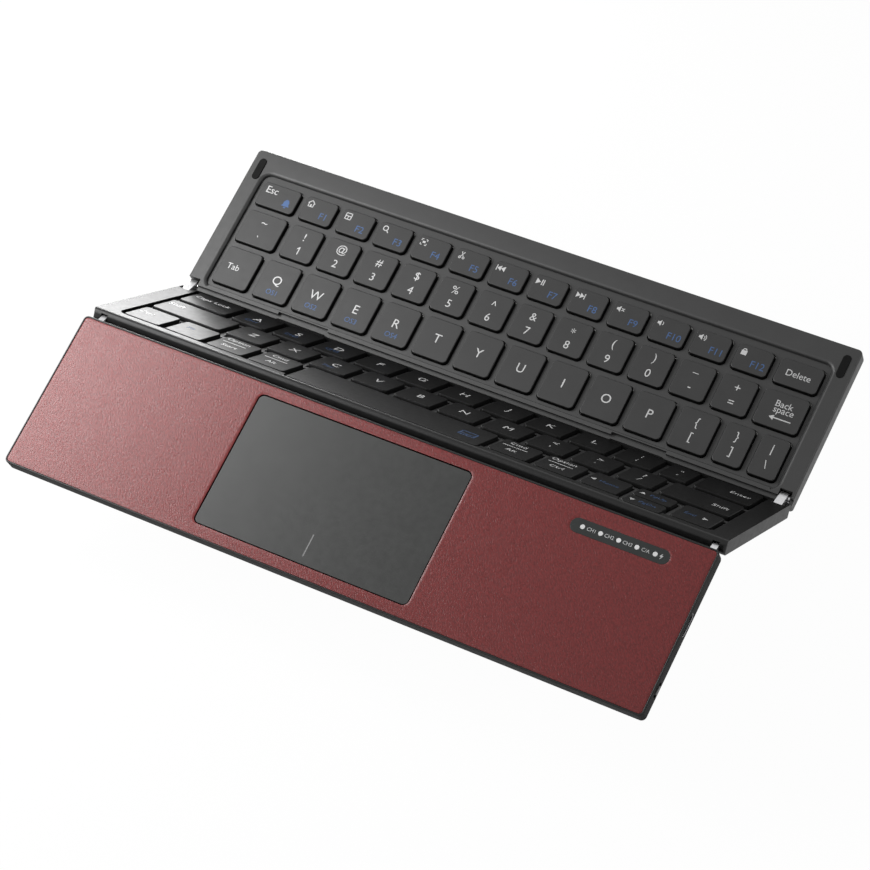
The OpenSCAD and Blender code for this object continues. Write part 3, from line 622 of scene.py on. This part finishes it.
def triangle(tip, base, half):
    """A filled triangle from its tip to the middle of its base, along x."""
    return [tip, (base, tip[1] - half), (base, tip[1] + half)]


def sound_wave(radius, steps):
    return arc((0.0, 0), radius, -50, 50, 0.1, steps)


DOT_TURNS = [math.radians(degrees) for degrees in range(0, 360, 20)]
# An icon is a list of filled shapes, drawn about its middle and about 1 high or wide.
SPEAKER = [[(-0.5, -0.16), (-0.3, -0.16), (0.0, -0.42), (0.0, 0.42), (-0.3, 0.16), (-0.5, 0.16)]]
ICONS = {
    "home": trail([(-0.5, 0.02), (0, 0.5), (0.5, 0.02)], 0.12)
    + trail([(-0.36, 0.1), (-0.36, -0.45), (0.36, -0.45), (0.36, 0.1)], 0.11)
    + [bar((0, -0.4), (0, -0.1), 0.2)],
    "window": trail([(-0.42, -0.45), (0.42, -0.45), (0.42, 0.45), (-0.42, 0.45), (-0.42, -0.51)], 0.12)
    + [bar((-0.4, 0.02), (0.4, 0.02), 0.12), bar((0, 0), (0, -0.42), 0.1)],
    "search": ring((-0.08, 0.1), 0.34, 0.13, 16) + [bar((0.16, -0.16), (0.46, -0.46), 0.15)],
    "select": [bar((x, y), (x + 0.3, y), 0.12) for y in (-0.42, 0.42) for x in (-0.48, 0.18)]
    + [bar((x, y), (x, y + 0.3), 0.12) for x in (-0.42, 0.42) for y in (-0.48, 0.18)]
    + [bar((-0.2, 0), (0.2, 0), 0.3)],
    "scissors": ring((-0.26, -0.36), 0.14, 0.1, 12) + ring((0.26, -0.36), 0.14, 0.1, 12)
    + [bar((-0.2, -0.24), (0.22, 0.5), 0.1), bar((0.2, -0.24), (-0.22, 0.5), 0.1)],
    "previous": [triangle((-0.55, 0), 0.0, 0.4), triangle((0.0, 0), 0.55, 0.4)]
    + [bar((-0.62, -0.4), (-0.62, 0.4), 0.13)],
    "play": [triangle((0.05, 0), -0.6, 0.42)]
    + [bar((0.24, -0.4), (0.24, 0.4), 0.14), bar((0.5, -0.4), (0.5, 0.4), 0.14)],
    "next": [triangle((0.55, 0), 0.0, 0.4), triangle((0.0, 0), -0.55, 0.4)]
    + [bar((0.62, -0.4), (0.62, 0.4), 0.13)],
    "mute": SPEAKER + [bar((0.18, -0.2), (0.54, 0.2), 0.1), bar((0.18, 0.2), (0.54, -0.2), 0.1)],
    "quieter": SPEAKER + sound_wave(0.28, 6),
    "louder": SPEAKER + sound_wave(0.28, 6) + sound_wave(0.5, 8),
    "lock": [bar((-0.38, -0.18), (0.38, -0.18), 0.62)] + arc((0, 0.14), 0.24, 0, 180, 0.12, 10),
    "bell": [
        [(-0.45, -0.3), (0.45, -0.3), (0.32, -0.1), (0.3, 0.2),
         (0.12, 0.44), (-0.12, 0.44), (-0.3, 0.2), (-0.32, -0.1)],
        bar((-0.13, -0.42), (0.13, -0.42), 0.14),
    ],
    "long_left": [triangle((-0.5, 0), -0.28, 0.12), bar((-0.3, 0), (0.5, 0), 0.05)],
    "left": [triangle((-0.4, 0), 0.3, 0.42)],
    "right": [triangle((0.4, 0), -0.3, 0.42)],
    "up": [[(0, 0.4), (-0.42, -0.3), (0.42, -0.3)]],
    "down": [[(0, -0.4), (0.42, 0.3), (-0.42, 0.3)]],
    "one": [[
        (0.02, 0.5), (0.14, 0.5), (0.14, -0.5), (0.01, -0.5), (0.01, 0.28), (-0.2, 0.13), (-0.2, 0.27),
    ]],
    "rule": [bar((-0.5, 0), (0.5, 0), 0.045)],
    "tick": [bar((0, -0.5), (0, 0.5), 0.055)],
    "pad_off": trail([(-0.5, -0.36), (0.5, -0.36), (0.5, 0.36), (-0.5, 0.36), (-0.5, -0.41)], 0.1)
    + [bar((-0.46, -0.08), (0.46, -0.08), 0.08), bar((0, -0.08), (0, -0.36), 0.08)],
    "bolt": [[(0.12, 0.5), (-0.3, -0.08), (-0.02, -0.08), (-0.12, -0.5), (0.3, 0.1), (0.03, 0.1)]],
    "dot": [[(0.5 * math.cos(turn), 0.5 * math.sin(turn)) for turn in DOT_TURNS]],
}


def print_legend(bm, legend, centre, z):
    """Adds one legend (what, dx, dy, size, slot) to a mesh: a word, or an icon named after an @."""
    what, dx, dy, size, slot = legend
    place = Vector((centre[0] + dx * MM, centre[1] + dy * MM, z))
    if what.startswith("@") and what[1:] in ICONS:
        for shape in ICONS[what[1:]]:
            points = [(place.x + x * size * MM, place.y + y * size * MM) for x, y in shape]
            loft(bm, [(points, z - INK * MM), (points, z + INK * MM)], lambda height: slot)
    else:
        mesh = letter_mesh(what, size)
        mesh.polygons.foreach_set("material_index", [slot] * len(mesh.polygons))
        mesh.transform(Matrix.Translation(place))
        bm.from_mesh(mesh)
        mesh.transform(Matrix.Translation(-place))


# A legend is what it shows, its place from the middle of its key, its size and its slot.
WHITE, BLUE, GREY, LIGHT = 2, 3, 4, 5       # slots of a printed piece: 0 top, 1 side, then the inks
LETTER, SIGN, WORD, STACKED, SMALL = 5.2, 4.6, 3.6, 3.4, 3.0        # sizes of the font
FIGURE = 0.7            # height of a figure, as a share of its font's size

FUNCTION_ICONS = ("home", "window", "search", "select", "scissors", "previous",
                  "play", "next", "mute", "quieter", "louder", "lock")
NUMBER_SIGNS = ("~`", ("!", "@one"), "@2", "#3", "$4", "%5", "^6", "&7", "*8", "(9", ")0", "_-", "+=")
SYSTEM_MARK = {"Q": "OS1", "W": "OS2", "E": "OS3", "R": "OS4"}
PAIRING_MARK = {"A": "CH1", "S": "CH2", "D": "CH3", "C": "Pair"}


def function(icon, number):
    return [("@" + icon, -4.1, 2.2, 2.9, WHITE), ("F%d" % number, 2.7, -1.6, SIGN * 0.86, BLUE)]


def pairs(signs, apart=3.0):
    """Two signs one above the other on each key; a sign that is an icon is as high as a figure."""
    return [
        [
            (sign, 0, dy, SIGN * (FIGURE if sign[1:] in ICONS else 1), WHITE)
            for sign, dy in ((upper, apart), (lower, -apart))
        ]
        for upper, lower in signs
    ]


def letter_keys(row, marks, dx, dy):
    """A letter on each key, with a small mark below it on some."""
    keys = []
    for text in row:
        legends = [(text, 0, 0.3, LETTER, WHITE)]
        if text in marks:
            legends.append((marks[text], dx, dy, SMALL, BLUE))
        keys.append(legends)
    return keys


def word(text, dx, dy, size=WORD, slot=WHITE):
    """The only key of its node, with one word or icon."""
    return [[(text, dx, dy, size, slot)]]


def stacked(upper, lower):
    """Two words with a line between them."""
    return [
        (upper, -1.2, 5.2, STACKED, WHITE),
        ("@rule", -1.1, 1.7, 9.6, WHITE),
        (lower, -0.7, -2.4, STACKED, WHITE),
    ]


LEGENDS = {             # for each node of keys, a list of legends for each key from left to right
    "key_escape": [[("Esc", -3.6, 2.2, 4.2, WHITE), ("@bell", 4.3, -1.4, 3.9, BLUE)]],
    "keys_function": [function(icon, number) for number, icon in enumerate(FUNCTION_ICONS, 1)],
    "key_delete": word("Delete", 0, 0),
    "keys_number": pairs(NUMBER_SIGNS),
    "key_backspace": [[
        ("Back", 0.4, 2.5, WORD, WHITE), ("space", 1.0, -0.6, WORD, WHITE),
        ("@long_left", 0.8, -3.2, 8.5, WHITE),
    ]],
    "key_tab": word("Tab", -1.8, 0),
    "keys_top_letters": letter_keys("QWERTYUIOP", SYSTEM_MARK, 0, -4.6) + pairs(("{[", "}]", "|\\")),
    "key_caps_lock": word("Caps Lock", -0.9, 1.6),
    "keys_home_letters": letter_keys("ASDFGHJKL", PAIRING_MARK, -1.2, -3.4) + pairs((":;", "\"'"), 2.6),
    "key_enter": word("Enter", 4.7, 0),
    "key_left_shift": word("Shift", -10.0, 2.6, 4.0),
    "keys_lower_letters": letter_keys("ZXCVBNM", PAIRING_MARK, -1.2, -3.4) + pairs(("<,", ">.", "?/"), 2.6),
    "key_right_shift": word("Shift", 7.5, -0.8),
    "key_control": word("Ctrl", -3.3, 1.3),
    "key_function_shift": word("Fn", -2.0, 2.0, slot=BLUE),
    "keys_modifier": [
        stacked("Option", "Start"), stacked("Cmd", "Alt"), stacked("Cmd", "Alt"), stacked("Option", "Ctrl"),
    ],
    "key_space": word("@pad_off", 31.4, -0.6, 6.0, BLUE),
    "key_arrow_left": [[("@left", -5.0, 0, 2.8, WHITE), ("Home", 1.2, 0, SMALL, BLUE)]],
    "key_arrow_up": [[("@up", -4.6, 0, 2.6, WHITE), ("PgUp", 1.2, 0, SMALL, BLUE)]],
    "key_arrow_down": [[("@down", -4.6, 0, 2.6, WHITE), ("PgDn", 1.2, 0, SMALL, BLUE)]],
    "key_arrow_right": [[("End", -2.6, 0, SMALL, BLUE), ("@right", 3.0, 0, 2.8, WHITE)]],
}


def make_keys():
    """Every key cap with its print, one piece for each CAD node of keys."""
    for node, keys in LEGENDS.items():
        if PANEL_OF_KEYS[node] == "rear_panel":
            panel, top, blue = REAR, "key", "blue_ink"
        else:
            # The middle panel's caps take darker copies of the key plastic and blue ink: painted shade.
            panel, top, blue = MIDDLE, "middle_key_painted_shade", "blue_ink_painted_shade"
        source = node_mesh(node, panel)
        caps = islands(source)
        source.free()
        bm = bmesh.new()
        for (low, high, _), legends in zip(caps, keys):
            cap(bm, low, high)
            middle = (low + high) / 2
            for legend in legends:
                print_legend(bm, legend, middle, high.z)
        in_place_of(finished(node + "_caps", bm, panel, [top, "key_side_painted_shade", "white_ink", blue]), node)


# ---------------------------------------------------------------- casings

RIM = 2.4               # how far in from a casing's outline its outer edges lie
TOP_REACH = 0.6         # outer edges lie this near to the highest point of a casing's top
UNDERSIDE_REACH = 0.2   # or this near to the lowest point of its underside
NOSE = 2.4              # the middle panel's near edge is already round this far in
NOWHERE = -1.0          # outside the rim, so that it is rounded right up to its end

# Node, panel, at its top or at its underside, width of the rounding, and how far in from its near and
# its far end the rim stays sharp.
CASINGS = (
    ("rear_bezel", REAR, True, 0.7, NOWHERE, NOWHERE),
    ("rear_cover", REAR, False, 0.25, NOWHERE, NOWHERE),
    ("mid_frame", MIDDLE, True, 0.3, NOSE, 1.8),
    ("mid_cover", MIDDLE, False, 0.25, 1.6, NOWHERE),
    ("front_frame", FRONT, True, 0.3, NOWHERE, NOWHERE),
    ("front_base", FRONT, False, 0.3, NOWHERE, NOWHERE),
)

OPENING_ROUND = 1.4
OPENING_IN = 6.5        # top edges of the rear panel further in than this lie round its opening
LIP_BACK = 1.0          # top edges nearer to the fold's pivot than this belong to the lip
LEVEL_WITH = 0.05       # top edges lie this near to the top

WALL_LEAN = 0.4         # z of its normal up to which a face counts as a wall
WALL_IN = 1.0           # walls further in than this aren't outer ones
NOSE_LEAN = -0.1        # y of its normal below which a face belongs to the middle panel's nose


def edge_middle(edge):
    return (edge.verts[0].co + edge.verts[1].co) / 2


def outer_rim(node, panel, top, near_end, far_end):
    """Test for the outer edges of a node at its top or its underside, between its two ends."""
    low, high = local_box(node, panel)
    height, within = (high.z, TOP_REACH) if top else (low.z, UNDERSIDE_REACH)

    def chosen(edge):
        middle = edge_middle(edge)
        outside = min(middle.x - low.x, high.x - middle.x, middle.y - low.y, high.y - middle.y)
        at_rim = abs(middle.z - height) < within * MM and outside < RIM * MM
        between = low.y + near_end * MM < middle.y < high.y - far_end * MM
        return at_rim and between and edge.is_convex

    return chosen


def opening_edge(node, panel):
    """Test for the top edges round the key field's opening, but for the narrow lip beside the fold."""
    low, high = local_box(node, panel)

    def chosen(edge):
        middle = edge_middle(edge)
        inside = min(middle.x - low.x, high.x - middle.x, high.y - middle.y) > OPENING_IN * MM
        return inside and middle.y > LIP_BACK * MM and abs(middle.z - high.z) < LEVEL_WITH * MM

    return chosen


def outer_walls(node, panel):
    """A casing's own surface everywhere but on its outer walls, which take the second one."""
    low, high = local_box(node, panel)

    def slot_of(face):
        middle = face.calc_center_median()
        inside = min(middle.x - low.x, high.x - middle.x, middle.y - low.y, high.y - middle.y)
        return int(abs(face.normal.z) < WALL_LEAN and inside < WALL_IN * MM)

    return slot_of


def towards_user(face):
    """The second surface for faces that look towards the user, as on the middle panel's nose."""
    return int(face.normal.y < NOSE_LEAN)


def make_casings():
    """The two halves of each panel's casing, with rounded outer edges."""
    for node, panel, top, width, near_end, far_end in CASINGS:
        rounds = [(width, outer_rim(node, panel, top, near_end, far_end))]
        surfaces, slot_of = ["casing"], None
        if node == "rear_bezel":
            rounds.append((OPENING_ROUND, opening_edge(node, panel)))
        elif panel is MIDDLE:
            # The middle panel's casing takes darker copies of the casing grey: painted shade.
            surfaces, slot_of = ["middle_casing_painted_shade", "middle_nose_painted_shade"], towards_user
        elif panel is FRONT:
            surfaces, slot_of = ["trim", "wall"], outer_walls(node, panel)
        softened(node, panel, rounds, surfaces, slot_of)


# ---------------------------------------------------------------- front panel's top

ROLL_WIDTH = 1.0        # width of the leather's rolled edge
ROLL_DROP = 0.12        # how far its rolled edge goes down
ROLL_STEPS = 5
ON_SIDE = 0.01          # points nearer to a loop's left end than this lie on its straight side

PAD_ROUND = 0.15
WINDOW_ROUND = 0.12
STATUS_LABELS = ("CH1", "CH2", "CH3", "C/A", "@bolt")
DOT = 1.7
LABEL, LABEL_AFTER = 1.85, 3.3      # size of a label, and how far to the right of its dot it lies
BOLT, BOLT_AFTER = 2.3, 2.3
TICK, TICK_RIGHT, TICK_UP = 8.6, 0.5, 7.0       # length, and place from the middle of the near edge

INKS = ["white_ink", "blue_ink", "grey_ink", "light"]       # in the order of their slots


def everywhere(edge):
    return True


def top_outlines(node, panel):
    """The loops round a sheet's top face, the outer one first: low and high corner, corner radius."""
    bm = node_mesh(node, panel)
    bm.normal_update()
    top = {face for face in bm.faces if face.normal.z > UPWARD}
    spare = [edge for edge in bm.edges if len(top.intersection(edge.link_faces)) != 1]
    bmesh.ops.delete(bm, geom=spare, context="EDGES")
    bmesh.ops.delete(bm, geom=[vertex for vertex in bm.verts if not vertex.link_edges], context="VERTS")
    loops = []
    for low, high, points in islands(bm):
        straight = [point.y for point in points if point.x < low.x + ON_SIDE * MM]
        loops.append((low, high, min(straight) - low.y))
    bm.free()
    return loops


def make_leather():
    """The leather of the front panel, its edges rolled down round the outside and round each opening."""
    bottom = local_box("front_leather", FRONT)[0].z
    bm = bmesh.new()
    floors, tops = [], []
    for number, (low, high, corner) in enumerate(top_outlines("front_leather", FRONT)):
        inward = 1 if number == 0 else -1
        rings = [(0.0, bottom)]
        for step in range(ROLL_STEPS + 1):
            reach = step / ROLL_STEPS
            rings.append((reach * ROLL_WIDTH * MM * inward, high.z - ROLL_DROP * MM * (1 - reach) ** 2))
        loops = [
            [bm.verts.new((x, y, z)) for x, y in outline(low, high, corner, inset)] for inset, z in rings
        ]
        for below, above in zip(loops, loops[1:]):
            for i in range(len(below)):
                bm.faces.new((below[i - 1], below[i], above[i], above[i - 1]))
        for loop, ends in ((loops[0], floors), (loops[-1], tops)):
            ends += [bm.edges.get((loop[i - 1], loop[i])) for i in range(len(loop))]
    for ends in (floors, tops):
        bmesh.ops.triangle_fill(bm, edges=ends, use_beauty=True)
    in_place_of(finished("front_leather_skin", bm, FRONT, ["leather"]), "front_leather")


def make_touchpad():
    """The touchpad's plate, with the short line between its left and its right click."""
    low, high = local_box("touchpad", FRONT)
    tick = ("@tick", (low.x + high.x) / 2 / MM + TICK_RIGHT, low.y / MM + TICK_UP, TICK, GREY)
    softened("touchpad", FRONT, [(PAD_ROUND, everywhere)], ["pad", "wall", *INKS[:3]], prints=[tick])


def make_status_window():
    """The smoked window, with a white dot over each status light and a label beside it."""
    bm = node_mesh("status_lights", FRONT)
    lights = islands(bm)
    bm.free()
    prints = []
    for (low, high, _), label in zip(lights, STATUS_LABELS):
        x, y = (low.x + high.x) / 2 / MM, (low.y + high.y) / 2 / MM
        size, after = (BOLT, BOLT_AFTER) if label == "@bolt" else (LABEL, LABEL_AFTER)
        prints += [("@dot", x, y, DOT, LIGHT), (label, x + after, y, size, WHITE)]
    rounds = [(WINDOW_ROUND, everywhere)]
    softened("status_window", FRONT, rounds, ["glass", "wall", *INKS], prints=prints)


# ---------------------------------------------------------------- small pieces and hidden ones

HARDWARE = (            # node, frame, width of its rounded edges, surface
    ("rear_leather", REAR, 0.2, "leather"), ("rear_bumpers", REAR, 0.25, "rubber"),
    ("rear_feet", REAR, 0.2, "rubber"), ("front_feet", FRONT, 0.2, "rubber"),
    ("rear_link_left_arm", WHOLE, 0.2, "hinge"), ("rear_link_right_arm", WHOLE, 0.2, "hinge"),
    ("front_link_left_arm", WHOLE, 0.2, "hinge"), ("front_link_right_arm", WHOLE, 0.2, "hinge"),
    ("rear_pins", REAR, 0.12, "pin"), ("power_switch", FRONT, 0.15, "knob"),
    ("charging_port", FRONT, 0.08, "port"), ("front_screws", FRONT, 0.06, "pin"),
)

PLAIN = {               # the nodes that take each surface
    "plate": ("rear_plate", "mid_plate"),
    "film": ("rear_membrane", "mid_membrane"),
    "silicone": ("rear_domes", "mid_domes"),
    "deck": ("rear_deck", "mid_deck"),
    "magnet": ("rear_magnets",),
    "pin": ("mid_rear_pins", "mid_front_pins", "front_pins"),
    "foil": ("battery",),
    "board": ("main_board", "touchpad_board"),
    "light": ("status_lights",),
}


def make_hardware():
    """Links, pins, bumpers and other small pieces, with the edges that casting or moulding leaves."""
    for node, panel, width, surface in HARDWARE:
        softened(node, panel, [(width, everywhere)], [surface])


def dress_plain_nodes():
    """CAD nodes whose shape stays: only their material changes."""
    for surface, nodes in PLAIN.items():
        for node in nodes:
            slots = frame["nodes"][node].data.materials
            slots.clear()
            slots.append(SURFACES[surface].material)


bpy.context.scene.view_settings.view_transform = "Standard"
make_camera()
make_world()
make_floor()
make_lamps()
dress_plain_nodes()
make_keys()
make_casings()
make_leather()
make_touchpad()
make_status_window()
make_hardware()
